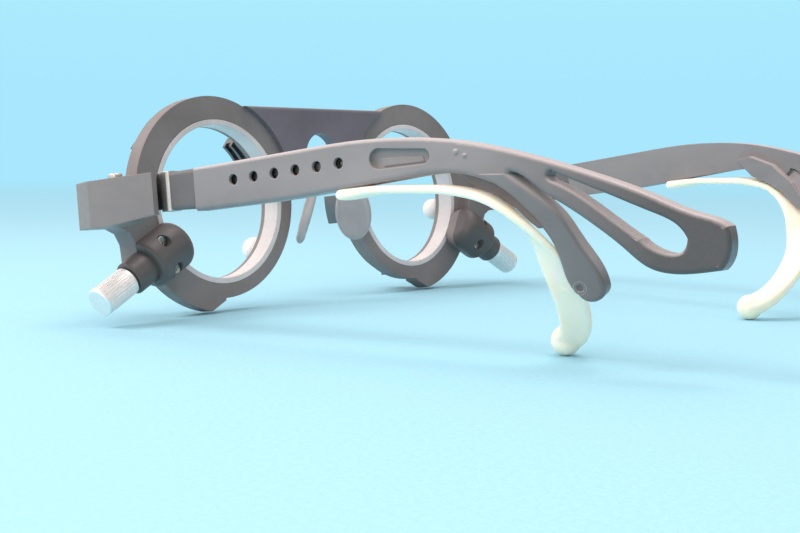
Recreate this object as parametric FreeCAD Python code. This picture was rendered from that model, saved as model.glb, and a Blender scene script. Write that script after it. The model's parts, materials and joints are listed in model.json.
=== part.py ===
"""Optical trial frame with fixed pupil distance, built as an assembly of separate solids.

Design axes, in mm: +X is the wearer's left, +Y points back along the temples, +Z is up. The lens
centres lie on Z = 0 and the rear faces of the ring housings on Y = 0. Every piece is made once for
the left side and mirrored for the right. At the end the whole frame is pitched about X and moved,
so that it rests on its lower ring rims and its ear-hook balls with Z = 0 as the floor.
"""
import math
import os

from FreeCAD import Matrix, Rotation, Vector
import Part

# ---- driving dimensions (mm, degrees) ----------------------------------------------------------
HALF_PD = 33.0            # lens centre to the middle of the frame
REST_PITCH = 6.2          # rear of the frame is up by this angle when it rests

RIM_R = 23.3              # outer radius of the ring housing
RIM_DX, RIM_DZ = 0.9, 1.0  # its centre from the lens centre
GUARD_R = 25.5            # lower outer part of the rim, about the lens centre
GUARD_FROM, GUARD_TO = -22.0, -77.0
BASE_FRONT = -3.0         # Y of the joint between housing and bezel
BEZEL_FRONT = -4.2
REAR_WALL = 1.0
GEAR_POCKET_R = 20.75
BEARING_R = 19.0
BEZEL_BORE_R = 19.35

CELL_R = 17.7             # clear radius of the rotating cell
SLEEVE_R = 18.92
CELL_FRONT = -4.5
GEAR_TIP_Y, GEAR_ROOT_Y, GEAR_BACK_Y = -1.2, -2.0, -2.8
GEAR_R = 20.4
GEAR_TEETH = 42
CLIP_RING_T = 1.4
CLIP_RING_R = 21.0
LENS_R = 19.0             # 38 mm trial lens
HOLDER_FRONT = -11.3
HOLDER_TIP_R = 18.0
HOLDER_BACK_R = 20.8
HOLDER_HALF_ANGLE = 10.0
LENS_SLOTS = (-7.3, -9.7)  # Y of the middle of each lens groove
SLOT_W = 1.6
HOLDER_ANGLES = (140.0, 50.0, 320.0)
SPRING_ANGLE = 213.0
CLIP_SCREW_ANGLES = (5.0, 95.0, 185.0, 275.0)
CLIP_BALL_R = 2.9
CLIP_BALL_Y = -9.3
LEAF_W, LEAF_T = 3.8, 0.4
RIVET_R = 0.42
RIGHT_CELL_TEETH = 16     # the right cell is stored turned by this many teeth

KNOB_ANGLE = -28.5        # of the knob axis in the lens plane
KNOB_Y = 2.8
PINION_TEETH = 9
PINION_TIP_R, PINION_ROOT_R = 4.6, 3.75
PINION_FROM, PINION_TO = 18.95, 20.65
BOSS_R = 5.6
BOSS_FROM, BOSS_TO = 17.5, 28.6
SHAFT_R = 1.25
JOURNAL_R = 0.8
RUN_CLEAR = 0.05
BUSH_R = 3.75
BUSH_FROM, BUSH_TO = 26.2, 33.9
CAP_R = 3.15
CAP_FROM, CAP_TO = 34.2, 43.2
CAP_FLUTES = 30
SHAFT_TO = 40.3

LUG_X = 72.0
LUG_TOP, LUG_BOTTOM = 4.8, -5.0
LUG_REAR = 23.0
PIN_X, PIN_Y = 68.7, 8.7
PIN_R = 0.75
KNUCKLE_R = 1.5

TOE_IN = 9.0              # temples close in towards the rear by this angle
SLIDE_RISE = 0.0245       # rise of the tongue per mm along the temple
BAR_T = 3.8
BAR_FROM = 31.8           # distances along the temple are measured from Y = 0
CHANNEL_TO = 69.2
TONGUE_T, TONGUE_H = 1.0, 4.2
TONGUE_TO = 68.4
FERRULE_FROM, FERRULE_TO = 22.3, 25.4
PLATE_T = 1.6             # steel plate between the hinge and the moulded neck
HOLE_FROM, HOLE_PITCH, HOLE_COUNT = 41.7, 4.95, 6
HOLE_R = 1.05
OUTER_ROUND, WINDOW_ROUND = 0.85, 0.6
PRONG_TILT = 17.0
PRONG_T = 3.0
STRAP_T = 1.7
BALL_R = 2.8

LENS = Vector(HALF_PD, 0, 0)
ALONG_Y = Vector(0, 1, 0)


# ---- small helpers -----------------------------------------------------------------------------
def cyl(radius, p_from, p_to):
    """Cylinder between two points."""
    axis = p_to - p_from
    return Part.makeCylinder(radius, axis.Length, p_from, axis)


def ring_cyl(radius, y_from, y_to, dx=0.0, dz=0.0):
    """Cylinder about an axis parallel to the lens axis."""
    return cyl(radius, Vector(HALF_PD + dx, y_from, dz), Vector(HALF_PD + dx, y_to, dz))


def polar(radius, angle, y=0.0):
    """Point in the lens plane; the angle runs from outboard towards the top."""
    a = math.radians(angle)
    return Vector(HALF_PD + radius * math.cos(a), y, radius * math.sin(a))


def prism(points, vector):
    """Solid from a closed polygon of vectors."""
    wire = Part.makePolygon(list(points) + [points[0]])
    return Part.Face(wire).extrude(vector)


def smooth_prism(runs, vector):
    """Solid from a closed outline made of runs; a run of three or more points is a smooth curve."""
    edges = []
    for i, run in enumerate(runs):
        pts = list(run) + [runs[(i + 1) % len(runs)][0]]
        if len(pts) > 2:
            curve = Part.BSplineCurve()
            curve.interpolate(pts)
            edges.append(curve.toShape())
        else:
            edges.append(Part.makeLine(pts[0], pts[1]))
    return Part.Face(Part.Wire(edges)).extrude(vector)


def fuse_all(shapes):
    return shapes[0].multiFuse(shapes[1:]).removeSplitter()


def round_edges(shape, radius, wanted):
    """Fillet the edges whose middle point passes the test."""
    edges = [e for e in shape.Edges if wanted(e)]
    return shape.makeFillet(radius, edges)


def sector(radius, a_from, a_to, y_from, y_to):
    """Pie-shaped wedge about the lens axis."""
    steps = 12
    pts = [Vector(HALF_PD, y_from, 0)]
    reach = radius / math.cos(math.radians(abs(a_to - a_from) / steps / 2))
    for i in range(steps + 1):
        pts.append(polar(reach, a_from + (a_to - a_from) * i / steps, y_from))
    return prism(pts, Vector(0, y_to - y_from, 0))


def screw(tip, head, r_thread, r_head, head_len):
    """Pan-head screw along a line, with a cross recess in the head."""
    axis = (head - tip).normalize()
    body = cyl(r_thread, tip, head).fuse(cyl(r_head, head - axis * head_len, head))
    side = axis.cross(Vector(0.3, 0.2, 0.9)).normalize()
    other = axis.cross(side)
    w, depth = r_head * 0.22, head_len * 0.45
    for u, v in ((side, other), (other, side)):
        a, b = u * (r_head * 0.65), v * (w / 2)
        base = head - axis * depth
        pts = [base + a + b, base - a + b, base - a - b, base + a - b]
        body = body.cut(prism(pts, axis * (depth * 2)))
    return body


# ---- ring housing, bezel and bridge ---------------------------------------------------------------
def rim_solid(y_from, y_to, shrink=0.0):
    """Outline of the ring with its lower guard."""
    rim = ring_cyl(RIM_R - shrink, y_from, y_to, RIM_DX, RIM_DZ)
    wedge = sector(GUARD_R + 2, GUARD_FROM, GUARD_TO, y_from - 1, y_to + 1)
    slope = [LENS + ALONG_Y * (y_from - 1), polar(GUARD_R + 0.5 - shrink, GUARD_TO, y_from - 1),
             polar(RIM_R - 0.5 - shrink, GUARD_TO - 11, y_from - 1)]
    wedge = wedge.fuse(prism(slope, ALONG_Y * (y_to - y_from + 2)))
    guard = ring_cyl(GUARD_R - shrink, y_from, y_to).common(wedge)
    return rim.fuse(guard).removeSplitter()


def knob_point(r, side=0.0, y=KNOB_Y):
    """Point by its distance along the knob axis, sideways in the lens plane, and its Y."""
    a = math.radians(KNOB_ANGLE)
    return Vector(HALF_PD + r * math.cos(a) - side * math.sin(a), y, r * math.sin(a) + side * math.cos(a))


def boss_solid():
    boss = cyl(BOSS_R, knob_point(BOSS_FROM), knob_point(BOSS_TO))
    inner = knob_point(BOSS_FROM)
    boss = round_edges(boss, 2.8, lambda e: (e.CenterOfMass - inner).Length < 0.5 and len(e.Vertexes) == 1)
    outer = knob_point(BOSS_TO)
    return round_edges(boss, 0.9, lambda e: (e.CenterOfMass - outer).Length < 0.5 and len(e.Vertexes) == 1)


def boss_bores():
    """Everything the knob shaft, its pinion and its bushing need."""
    return fuse_all([
        cyl(PINION_TIP_R + 0.25, knob_point(PINION_FROM - 0.25), knob_point(PINION_TO + 0.25)),
        cyl(JOURNAL_R + RUN_CLEAR, knob_point(18.0), knob_point(PINION_FROM)),
        cyl(SHAFT_R + RUN_CLEAR, knob_point(PINION_TO - 0.5), knob_point(BOSS_TO + 1)),
        cyl(BUSH_R, knob_point(BUSH_FROM), knob_point(BUSH_TO + 1)),
    ])


COVER_SCREWS = [(24.2, 3.4), (24.2, -3.4)]


def cover_split(rear):
    """Block on one side of the plane through the knob axis."""
    y0, y1 = (KNOB_Y, KNOB_Y + 10) if rear else (KNOB_Y - 20, KNOB_Y)
    return prism([Vector(HALF_PD - 5, y0, 20), Vector(HALF_PD + 60, y0, 20),
                  Vector(HALF_PD + 60, y0, -45), Vector(HALF_PD - 5, y0, -45)], Vector(0, y1 - y0, 0))


def lug_solid():
    """End lug: front arm out from the ring, then an open channel back to the hinge."""
    z0, height = LUG_BOTTOM, Vector(0, 0, LUG_TOP - LUG_BOTTOM)
    outline = [(52, BEZEL_FRONT), (69.6, BEZEL_FRONT), (LUG_X, 3.4), (70.7, LUG_REAR), (69.4, LUG_REAR),
               (69.75, 13.6), (65.4, 13.2), (65.4, 4.2), (61.5, 0), (52, 0)]
    lug = prism([Vector(x, y, z0) for x, y in outline], height)
    lug = round_edges(lug, 1.2, lambda e: e.Length > 9.5 and abs(e.CenterOfMass.x - 69.6) < 0.1
                      and e.CenterOfMass.y < 0)
    lug = round_edges(lug, 1.2, lambda e: abs(e.CenterOfMass.x - LUG_X) < 0.1 and
                      abs(e.CenterOfMass.y - 3.4) < 0.1 and e.Length > 9.5)
    channel = [(60, 5.3), (70.5, 5.3), (69.15, 30), (60, 30)]
    lug = lug.cut(prism([Vector(x, y, -3.3) for x, y in channel], Vector(0, 0, 6.8)))
    slope = [Vector(50, 9, LUG_BOTTOM), Vector(50, 26, -3.4), Vector(50, 26, -9), Vector(50, 9, -9)]
    lug = lug.cut(prism(slope, Vector(30, 0, 0)))
    return lug


BRIDGE_SCREWS = [(15.2, 18.3), (9.6, 13.4)]
BRIDGE_FRONT, BRIDGE_REAR = -1.6, 1.4
BEZEL_SCREWS = [(23.2, -58.0), (22.5, 62.0), (22.2, 112.0)]


def knob_web():
    """Solid corner between the end lug, the ring and the knob boss."""
    pts = [(54.5, -1.0), (66.0, -4.0), (61.6, -6.2), (60.4, -8.6), (60.0, -14.5), (50.0, -12.0)]
    web = prism([Vector(x, -2.9, z) for x, z in pts], Vector(0, 2.9 + KNOB_Y, 0))
    return web.cut(ring_cyl(22.0, -10, 10)).cut(rim_solid(BEZEL_FRONT - 1, BASE_FRONT, -0.12))


def bridge_ear():
    """Thin ear of the ring housing that lies in front of the bridge."""
    pts = [(21.0, 21.0), (12.6, 21.4), (7.4, 15.6), (7.2, 11.6), (12.6, 8.0), (22.0, 8.0)]
    ear = prism([Vector(x, BASE_FRONT, z) for x, z in pts], Vector(0, BRIDGE_FRONT - BASE_FRONT, 0))
    return ear.cut(ring_cyl(22.0, -10, 10))


def ring_housing():
    body = rim_solid(BASE_FRONT, 0)
    body = body.cut(ring_cyl(BEARING_R, -10, 10))
    body = body.cut(ring_cyl(GEAR_POCKET_R, -10, -REAR_WALL))
    lug = lug_solid().cut(rim_solid(BEZEL_FRONT - 1, BASE_FRONT, -0.12)).cut(ring_cyl(22.0, -10, 10))
    boss = boss_solid().common(cover_split(False))
    boss = boss.cut(ring_cyl(GUARD_R + 0.15, -10, 0)).cut(ring_cyl(BEARING_R + 0.3, -10, 0.3))
    body = fuse_all([body, lug, boss, knob_web(), bridge_ear()])
    body = body.cut(boss_bores())
    for r, side in COVER_SCREWS:
        body = body.cut(cyl(0.6, knob_point(r, side, 0.4), knob_point(r, side, 9)))
    for r, ang in BEZEL_SCREWS:
        body = body.cut(cyl(0.45, polar(r, ang, -6), polar(r, ang, -0.7)))
    for x, z in BRIDGE_SCREWS:
        body = body.cut(cyl(0.6, Vector(x, -6, z), Vector(x, 0, z)))
    body = body.cut(cyl(PIN_R, Vector(PIN_X, PIN_Y, -8), Vector(PIN_X, PIN_Y, 8)))
    return body


def gear_cover():
    body = boss_solid().common(cover_split(True)).cut(boss_bores())
    for r, side in COVER_SCREWS:
        body = body.cut(cyl(0.65, knob_point(r, side, 0), knob_point(r, side, 9)))
        body = body.cut(cyl(1.3, knob_point(r, side, 5.2), knob_point(r, side, 12)))
    return body


def cover_screws():
    return [screw(knob_point(r, s, 0.4), knob_point(r, s, 6.1), 0.6, 1.15, 0.85) for r, s in COVER_SCREWS]


def bezel():
    body = rim_solid(BEZEL_FRONT, BASE_FRONT, 0.0)
    body = round_edges(body, 0.5, lambda e: abs(e.CenterOfMass.y - BEZEL_FRONT) < 0.01 and e.Length > 20)
    body = body.cut(ring_cyl(BEZEL_BORE_R, -10, 10))
    for r, ang in BEZEL_SCREWS:
        body = body.cut(cyl(0.5, polar(r, ang, -6), polar(r, ang, 0)))
        body = body.cut(cyl(0.95, polar(r, ang, -6), polar(r, ang, BEZEL_FRONT + 0.55)))
    for i in range(37):
        ang = 180 + i * 5
        outer = 21.3 if i % 6 == 0 else (20.9 if i % 2 == 0 else 20.5)
        a, b = polar(19.8, ang, BEZEL_FRONT - 0.5), polar(outer, ang, BEZEL_FRONT - 0.5)
        side = (b - a).normalize().cross(ALONG_Y) * 0.11
        body = body.cut(prism([a + side, b + side, b - side, a - side], Vector(0, 0.75, 0)))
    return body


def bezel_screws():
    return [screw(polar(r, ang, -0.7), polar(r, ang, BEZEL_FRONT), 0.45, 0.9, 0.5) for r, ang in BEZEL_SCREWS]


PAD_W, PAD_T, PAD_H = 9.0, 2.8, 15.5
PAD_CENTRE = Vector(8.1, 2.6, -3.6)
PAD_STUD = (-1.5, 6.0)    # along the pad's width and length
FOOT_Z = 1.2              # lower end of the bridge's feet


def pad_placement():
    """Local X is the pad's width, Y its normal towards the nose, Z its length."""
    s = Vector(-0.26, 0.22, 0.94).normalize()
    n = Vector(-0.75, 0.66, 0)
    n = (n - s * n.dot(s)).normalize()
    w = n.cross(s)
    return Matrix(w.x, n.x, s.x, PAD_CENTRE.x, w.y, n.y, s.y, PAD_CENTRE.y, w.z, n.z, s.z, PAD_CENTRE.z,
                  0, 0, 0, 1)


def local_box(w, t0, t1, h):
    return Part.makeBox(w, t1 - t0, h, Vector(-w / 2, t0, -h / 2))


def pad_stud():
    x, z = PAD_STUD
    return cyl(0.9, Vector(x, -PAD_T / 2 - 1.6, z), Vector(x, 0, z))


def nose_pad():
    pad = local_box(PAD_W, -PAD_T / 2, PAD_T / 2, PAD_H)
    pad = round_edges(pad, 3.2, lambda e: abs(e.Length - PAD_T) < 0.01)
    pad = round_edges(pad, 0.7, lambda e: abs(abs(e.CenterOfMass.y) - PAD_T / 2) < 0.01)
    return pad.fuse(pad_stud()).transformGeometry(pad_placement())


def pad_seat():
    """Moulded block behind the top of the soft pad, which takes its stud."""
    x, z = PAD_STUD
    seat = Part.makeBox(5.4, 2.6, 4.4, Vector(x - 2.4, -PAD_T / 2 - 2.6, z - 1.9))
    seat = round_edges(seat, 0.8, lambda e: abs(e.Length - 2.6) < 0.01)
    return seat.transformGeometry(pad_placement())


def bridge_half():
    """Left half of the bridge: plate between the rings and the foot that carries the nose pad."""
    pts = [(0, 22.2), (24, 22.2), (24, 14), (16, 14), (12.5, 6.0), (11.0, 3.6), (11.0, FOOT_Z), (0, FOOT_Z)]
    half = prism([Vector(x, BRIDGE_FRONT, z) for x, z in pts], Vector(0, BRIDGE_REAR - BRIDGE_FRONT, 0))
    half = half.cut(ring_cyl(RIM_R + 0.02, -10, 10, RIM_DX, RIM_DZ))
    arch = cyl(5.6, Vector(0, -10, 10.4), Vector(0, 10, 10.4))
    arch = arch.fuse(prism([Vector(x, -10, z) for x, z in ((-5.6, 10.4), (5.6, 10.4), (7.9, 2), (7.9, -5),
                                                          (-7.9, -5), (-7.9, 2))], Vector(0, 20, 0)))
    half = half.cut(arch).fuse(pad_seat())
    clear = local_box(16, -PAD_T / 2, 14, 26).transformGeometry(pad_placement())
    stud = pad_stud().transformGeometry(pad_placement())
    for x, z in BRIDGE_SCREWS:
        half = half.cut(cyl(0.55, Vector(x, -6, z), Vector(x, 0.9, z)))
    return half.cut(clear).cut(stud)


def bridge():
    half = bridge_half()
    whole = half.fuse(half.mirror(Vector(), Vector(1, 0, 0))).removeSplitter()
    return round_edges(whole, 0.8, lambda e: abs(e.CenterOfMass.z - 22.2) < 0.05 and e.Length > 20)


def bridge_screws():
    left = [screw(Vector(x, 0.85, z), Vector(x, BASE_FRONT - 0.8, z), 0.55, 1.05, 0.8)
            for x, z in BRIDGE_SCREWS]
    return left + [s.mirror(Vector(), Vector(1, 0, 0)) for s in left]


# ---- rotating lens cell -----------------------------------------------------------------------------
def arc_block(r_in, r_out, ang, half_angle, y_from, y_to):
    """Part of a ring, between two radii and about one direction."""
    block = ring_cyl(r_out, y_from, y_to).cut(ring_cyl(r_in, y_from - 1, y_to + 1))
    return block.common(sector(r_out + 1, ang - half_angle, ang + half_angle, y_from - 1, y_to + 1))


def lens_cell():
    body = ring_cyl(SLEEVE_R, CELL_FRONT, 0).fuse(ring_cyl(GEAR_R, GEAR_BACK_Y, GEAR_TIP_Y)).removeSplitter()
    body = body.cut(ring_cyl(CELL_R, -10, 10))
    pitch = 360.0 / GEAR_TEETH
    gaps = []
    for i in range(GEAR_TEETH):
        ang = KNOB_ANGLE + i * pitch
        out = polar(1, ang) - LENS
        side = out.cross(ALONG_Y).normalize()
        centre = LENS + out * (SLEEVE_R + 0.02) + ALONG_Y * GEAR_ROOT_Y
        w0, w1 = 0.62, 0.95
        pts = [centre + side * w0, centre - side * w0, centre - side * w1 + ALONG_Y * 0.9,
               centre + side * w1 + ALONG_Y * 0.9]
        gaps.append(prism(pts, out * 3))
    body = body.cut(Part.makeCompound(gaps))
    for ang in CLIP_SCREW_ANGLES:
        body = body.cut(cyl(0.32, polar(18.32, ang, CELL_FRONT - 1), polar(18.32, ang, -2.4)))
    return body


def clip_ring():
    body = ring_cyl(CLIP_RING_R, CELL_FRONT - CLIP_RING_T, CELL_FRONT).cut(ring_cyl(CELL_R, -20, 20))
    body = round_edges(body, 0.35, lambda e: abs(e.CenterOfMass.y - CELL_FRONT + CLIP_RING_T) < 0.01)
    for ang in CLIP_SCREW_ANGLES:
        body = body.cut(cyl(0.36, polar(18.32, ang, -10), polar(18.32, ang, 0)))
        body = body.cut(cyl(0.6, polar(18.32, ang, -10), polar(18.32, ang, CELL_FRONT - CLIP_RING_T + 0.45)))
    for ang in HOLDER_ANGLES:
        body = body.cut(cyl(RIVET_R, polar(19.7, ang, -10), polar(19.7, ang, 0)))
    body = body.cut(cyl(RIVET_R, polar(19.35, SPRING_ANGLE, -10), polar(19.35, SPRING_ANGLE, 0)))
    return body


def clip_ring_screws():
    face = CELL_FRONT - CLIP_RING_T
    return [screw(polar(18.32, a, -2.5), polar(18.32, a, face), 0.32, 0.58, 0.4) for a in CLIP_SCREW_ANGLES]


def lens_holders():
    """Three grooved jaws that hold the rims of 38 mm trial lenses."""
    face = CELL_FRONT - CLIP_RING_T
    out = []
    for ang in HOLDER_ANGLES:
        jaw = arc_block(HOLDER_TIP_R, HOLDER_BACK_R, ang, HOLDER_HALF_ANGLE, HOLDER_FRONT, face)
        for y in LENS_SLOTS:
            jaw = jaw.cut(ring_cyl(LENS_R + 0.1, y - SLOT_W / 2, y + SLOT_W / 2))
        jaw = jaw.cut(cyl(RIVET_R, polar(19.7, ang, face - 0.9), polar(19.7, ang, face + 1)))
        out.append(jaw)
    return out


def holder_pins():
    """Rivets from the back of the clip ring into the jaws and the spring clip."""
    face = CELL_FRONT - CLIP_RING_T
    pins = [cyl(RIVET_R, polar(19.7, a, face - 0.85), polar(19.7, a, CELL_FRONT)) for a in HOLDER_ANGLES]
    foot = cyl(RIVET_R, polar(19.35, SPRING_ANGLE, face - 0.4), polar(19.35, SPRING_ANGLE, CELL_FRONT))
    head = cyl(0.6, polar(19.35, SPRING_ANGLE, face - 0.7), polar(19.35, SPRING_ANGLE, face - 0.4))
    return pins + [foot.fuse(head).removeSplitter()]


def spring_dirs():
    """Outward and sideways directions at the spring clip."""
    a = math.radians(SPRING_ANGLE)
    out = Vector(math.cos(a), 0, math.sin(a))
    return out, out.cross(ALONG_Y)


def spring_leaf():
    """Bent leaf: foot on the clip ring, then an upright that ends inside the ball."""
    face = CELL_FRONT - CLIP_RING_T
    foot, tip = face - LEAF_T, CLIP_BALL_Y - 0.7
    section = [(20.85, face), (18.7, face), (18.7, foot), (20.45, foot), (20.0, tip), (20.35, tip),
               (20.85, foot)]
    out, side = spring_dirs()
    pts = [LENS + out * r + ALONG_Y * y - side * (LEAF_W / 2) for r, y in section]
    return prism(pts, side * LEAF_W)


def spring_clip():
    return spring_leaf().cut(cyl(RIVET_R, polar(19.35, SPRING_ANGLE, -7.2), polar(19.35, SPRING_ANGLE, 0)))


def clip_ball():
    """Polished bead moulded over the tip of the leaf."""
    out = spring_dirs()[0]
    centre = LENS + out * (CELL_R + 0.25 + CLIP_BALL_R) + ALONG_Y * CLIP_BALL_Y
    return Part.makeSphere(CLIP_BALL_R, centre).cut(spring_leaf())


# ---- axis knob -------------------------------------------------------------------------------------
def toothed(count, tip_r, root_r, tip_w, root_w, p_from, p_to, phase_dir):
    """Spur-toothed disc along a line; one tooth points along phase_dir."""
    axis = (p_to - p_from).normalize()
    side = axis.cross(phase_dir).normalize()
    hub = cyl(root_r, p_from, p_to)
    teeth = []
    for i in range(count):
        rot = Rotation(axis, 360.0 * i / count)
        u, v = rot.multVec(phase_dir), rot.multVec(side)
        pts = [p_from + u * (root_r - 0.4) + v * root_w / 2, p_from + u * tip_r + v * tip_w / 2,
               p_from + u * tip_r - v * tip_w / 2, p_from + u * (root_r - 0.4) - v * root_w / 2]
        teeth.append(prism(pts, p_to - p_from))
    return hub.multiFuse(teeth).removeSplitter()


def knob_shaft():
    pinion = toothed(PINION_TEETH, PINION_TIP_R, PINION_ROOT_R, 0.7, 1.25,
                     knob_point(PINION_FROM), knob_point(PINION_TO), Vector(0, -1, 0))
    journal = cyl(JOURNAL_R, knob_point(18.1), knob_point(PINION_FROM + 0.5))
    shaft = cyl(SHAFT_R, knob_point(PINION_TO - 0.5), knob_point(SHAFT_TO))
    return fuse_all([pinion, journal, shaft])


def shaft_bushing():
    body = cyl(BUSH_R, knob_point(BUSH_FROM), knob_point(BUSH_TO))
    end = knob_point(BUSH_TO)
    body = round_edges(body, 0.5, lambda e: (e.CenterOfMass - end).Length < 0.2 and len(e.Vertexes) == 1)
    return body.cut(cyl(SHAFT_R + RUN_CLEAR, knob_point(BUSH_FROM - 1), knob_point(BUSH_TO + 1)))


def knob_cap():
    body = cyl(CAP_R, knob_point(CAP_FROM), knob_point(CAP_TO))
    flutes = []
    for i in range(CAP_FLUTES):
        a = 2 * math.pi * i / CAP_FLUTES
        side, y = CAP_R * math.cos(a), KNOB_Y + CAP_R * math.sin(a)
        flutes.append(cyl(0.16, knob_point(CAP_FROM + 0.9, side, y), knob_point(CAP_TO - 0.9, side, y)))
    body = body.cut(Part.makeCompound(flutes))
    for r in (CAP_FROM, CAP_TO):
        end = knob_point(r)
        body = round_edges(body, 0.4, lambda e: (e.CenterOfMass - end).Length < 0.2 and e.Length > 15)
    body = body.cut(cyl(SHAFT_R, knob_point(CAP_FROM - 1), knob_point(SHAFT_TO)))
    return body


# ---- temple, seen in its own plane: u along, v up, w outward -----------------------------------------
TOE = math.radians(TOE_IN)
T_ORIGIN = Vector(LUG_X, 0, 0)
T_ALONG = Vector(-math.sin(TOE), math.cos(TOE), 0)
T_OUT = Vector(math.cos(TOE), math.sin(TOE), 0)
MID_W = -BAR_T / 2
PIN_U = (Vector(PIN_X, PIN_Y, 0) - T_ORIGIN).dot(T_ALONG)
PIN_W = (Vector(PIN_X, PIN_Y, 0) - T_ORIGIN).dot(T_OUT)


def tp(u, v, w=0.0):
    return T_ORIGIN + T_ALONG * u + Vector(0, 0, v) + T_OUT * w


def slide_v(u):
    """Height of the tongue's middle line."""
    return 0.55 + SLIDE_RISE * u


def hinge_pin():
    pin = cyl(PIN_R, Vector(PIN_X, PIN_Y, -4.9), Vector(PIN_X, PIN_Y, LUG_TOP + 0.4))
    head = cyl(1.5, Vector(PIN_X, PIN_Y, LUG_TOP), Vector(PIN_X, PIN_Y, LUG_TOP + 1.1))
    head = round_edges(head, 0.45, lambda e: abs(e.CenterOfMass.z - LUG_TOP - 1.1) < 0.01 and e.Length > 5)
    return pin.fuse(head).removeSplitter()


def hinge_tongue():
    """Steel: hinge knuckle, plate up to the collar, then the strip that the temple slides on."""
    u0 = PIN_U
    knuckle = cyl(KNUCKLE_R, Vector(PIN_X, PIN_Y, -3.1), Vector(PIN_X, PIN_Y, 3.3))
    neck = [(u0, -2.6), (u0 + 7.4, -2.6), (u0 + 7.4, 3.2), (u0, 3.2)]
    plate = [(u0 + 6.6, -2.6), (FERRULE_TO, -2.6), (FERRULE_TO, 4.6), (u0 + 6.6, 4.6)]
    shapes = [knuckle]
    for pts in (neck, plate):
        shapes.append(prism([tp(u, v, PIN_W - PLATE_T / 2) for u, v in pts], T_OUT * PLATE_T))
    strip = [(25.0, slide_v(25) - TONGUE_H / 2), (TONGUE_TO, slide_v(TONGUE_TO) - TONGUE_H / 2),
             (TONGUE_TO, slide_v(TONGUE_TO) + TONGUE_H / 2), (25.0, slide_v(25) + TONGUE_H / 2)]
    shapes.append(prism([tp(u, v, MID_W - TONGUE_T / 2) for u, v in strip], T_OUT * TONGUE_T))
    body = fuse_all(shapes)
    return body.cut(cyl(PIN_R + RUN_CLEAR, Vector(PIN_X, PIN_Y, -8), Vector(PIN_X, PIN_Y, 8)))


def along_edge(e, direction, length):
    return e.Length > length and abs(e.tangentAt(e.FirstParameter).dot(direction)) > 0.95


def tongue_ferrule():
    """Bright sleeve crimped round the end of the plate."""
    pts = [(FERRULE_FROM, -3.1), (FERRULE_TO, -3.1), (FERRULE_TO, 4.85), (FERRULE_FROM, 4.85)]
    body = prism([tp(u, v, MID_W - 1.75) for u, v in pts], T_OUT * 3.5)
    body = round_edges(body, 1.0, lambda e: along_edge(e, Vector(0, 0, 1), 5))
    plate = [(FERRULE_FROM - 1, -2.6), (FERRULE_TO + 1, -2.6), (FERRULE_TO + 1, 4.6), (FERRULE_FROM - 1, 4.6)]
    return body.cut(prism([tp(u, v, MID_W - PLATE_T / 2) for u, v in plate], T_OUT * PLATE_T))


def tongue_collar():
    """Moulded neck between the sleeve and the temple, with a shallow oval recess outside."""
    pts = [(FERRULE_TO, -3.0), (BAR_FROM - 0.2, -3.2), (BAR_FROM - 0.2, 4.75), (FERRULE_TO, 4.6)]
    body = prism([tp(u, v, MID_W - 1.7) for u, v in pts], T_OUT * 3.4)
    body = round_edges(body, 0.9, lambda e: along_edge(e, T_ALONG, 3))
    floor, u, r = MID_W + 1.15, 28.1, 1.8
    ends = [cyl(r, tp(u, v, floor), tp(u, v, 2)) for v in (-0.7, 2.2)]
    middle = [(u - r, -0.7), (u + r, -0.7), (u + r, 2.2), (u - r, 2.2)]
    recess = fuse_all(ends + [prism([tp(a, b, floor) for a, b in middle], T_OUT * 2)])
    body = body.cut(recess)
    h = TONGUE_H / 2
    slot = [(25, slide_v(25) - h), (33, slide_v(33) - h), (33, slide_v(33) + h), (25, slide_v(25) + h)]
    return body.cut(prism([tp(u, v, MID_W - TONGUE_T / 2) for u, v in slot], T_OUT * TONGUE_T))


def detent_spring():
    """Thin leaf on the tongue with a low dome that clicks in the temple's holes."""
    u1 = HOLE_FROM + HOLE_PITCH * (HOLE_COUNT - 1)
    w0 = MID_W + TONGUE_T / 2
    leaf = [(u1 - 8, slide_v(u1 - 8) - 0.8), (u1 + 1.6, slide_v(u1 + 1.6) - 0.8),
            (u1 + 1.6, slide_v(u1 + 1.6) + 0.8), (u1 - 8, slide_v(u1 - 8) + 0.8)]
    body = prism([tp(u, v, w0) for u, v in leaf], T_OUT * 0.2)
    dome_r = 1.2
    dome = Part.makeSphere(dome_r, tp(u1, slide_v(u1), w0 + 0.42 - dome_r))
    return body.fuse(dome.common(prism([tp(u, v, w0) for u, v in leaf], T_OUT * 2)))


BAR_TOP = [(31.8, 4.85), (46.2, 5.3), (58.1, 5.7), (69.4, 5.95), (80.1, 5.4), (90.2, 3.95), (99.7, 1.41),
           (108.6, -1.67), (117.1, -5.06), (125.1, -8.76), (132.4, -12.35), (135.8, -13.75)]
BAR_TAIL = [(137.0, -14.7), (137.2, -16.1), (136.6, -20.0)]
BAR_TAIL_LOW = [(135.3, -21.6), (130.5, -21.83), (126.6, -21.46), (124.0, -20.54), (119.9, -17.01),
                (116.4, -13.9), (110.0, -8.99), (106.2, -6.29), (101.9, -2.99)]
BAR_ROOT = [(100.9, -2.69), (100.4, -3.49)]
BAR_LOW = [(96.9, -4.1), (93.6, -2.75), (89.7, -1.85), (79.4, -1.9), (68.6, -2.5), (57.2, -3.2),
           (45.3, -3.5)]
BAR_FRONT = [(31.8, -3.7)]
WINDOW = [[(108.4, -3.18), (116.9, -7.47), (124.9, -11.48), (128.9, -13.9)],
          [(130.4, -16.22), (129.2, -18.24), (126.7, -18.13)],
          [(122.9, -15.61), (116.6, -10.48), (110.3, -5.88)],
          [(108.3, -4.88), (107.7, -3.88)]]
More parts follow.
